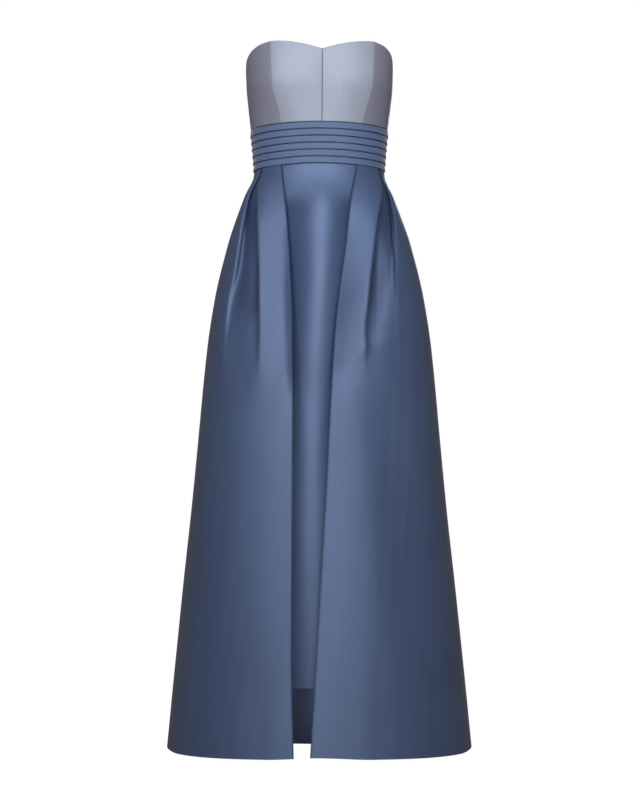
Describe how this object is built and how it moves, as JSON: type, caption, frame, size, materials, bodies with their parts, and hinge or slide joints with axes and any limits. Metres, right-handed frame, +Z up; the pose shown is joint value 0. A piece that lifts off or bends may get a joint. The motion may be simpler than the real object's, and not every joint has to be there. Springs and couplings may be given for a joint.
{
  "type": "evening gown",
  "caption": "Strapless evening gown: heart-shaped neckline, tucked waistband, slim underskirt and a full overskirt open down the front, with a concealed back zip.",
  "frame": {"origin": "middle of the wearer's waist, 5 mm above the waistband's lower edge at the front, where the gown is held", "axes": "+Z up, -Y towards the front of the gown, +X towards the wearer's left"},
  "size_m": [0.5684, 0.5642, 1.3249],
  "materials": {
    "bodice_satin": "pale silvery blue satin with a soft sheen",
    "band_satin": "mid-blue satin with a soft sheen, in horizontal tucks",
    "skirt_satin": "slate blue heavy satin with a soft sheen",
    "zip_tape": "matt woven zip tape",
    "zip_metal": "slate blue painted metal"
  },
  "bodies": {
    "gown": {"bodice_front_left": "bodice_satin", "bodice_front_right": "bodice_satin", "bodice_side_front_left": "bodice_satin", "bodice_side_front_right": "bodice_satin", "bodice_back_left": "bodice_satin", "bodice_back_right": "bodice_satin", "waistband_front": "band_satin", "waistband_back_left": "band_satin", "waistband_back_right": "band_satin", "overskirt_front_left": "skirt_satin", "overskirt_front_right": "skirt_satin", "overskirt_back_left": "skirt_satin", "overskirt_back_right": "skirt_satin", "underskirt_front": "skirt_satin", "underskirt_back_left": "skirt_satin", "underskirt_back_right": "skirt_satin", "zip_tape": "zip_tape", "zip_slider": "zip_metal"},
    "zip_pull": {"zip_pull": "zip_metal"}
  },
  "joints": [
    {"name": "zip_pull_hinge", "type": "hinge", "parent": "gown", "child": "zip_pull", "pos_m": [0, 0.09627, 0.158], "axis": [1, 0, 0], "range_deg": [0, 150]}
  ]
}
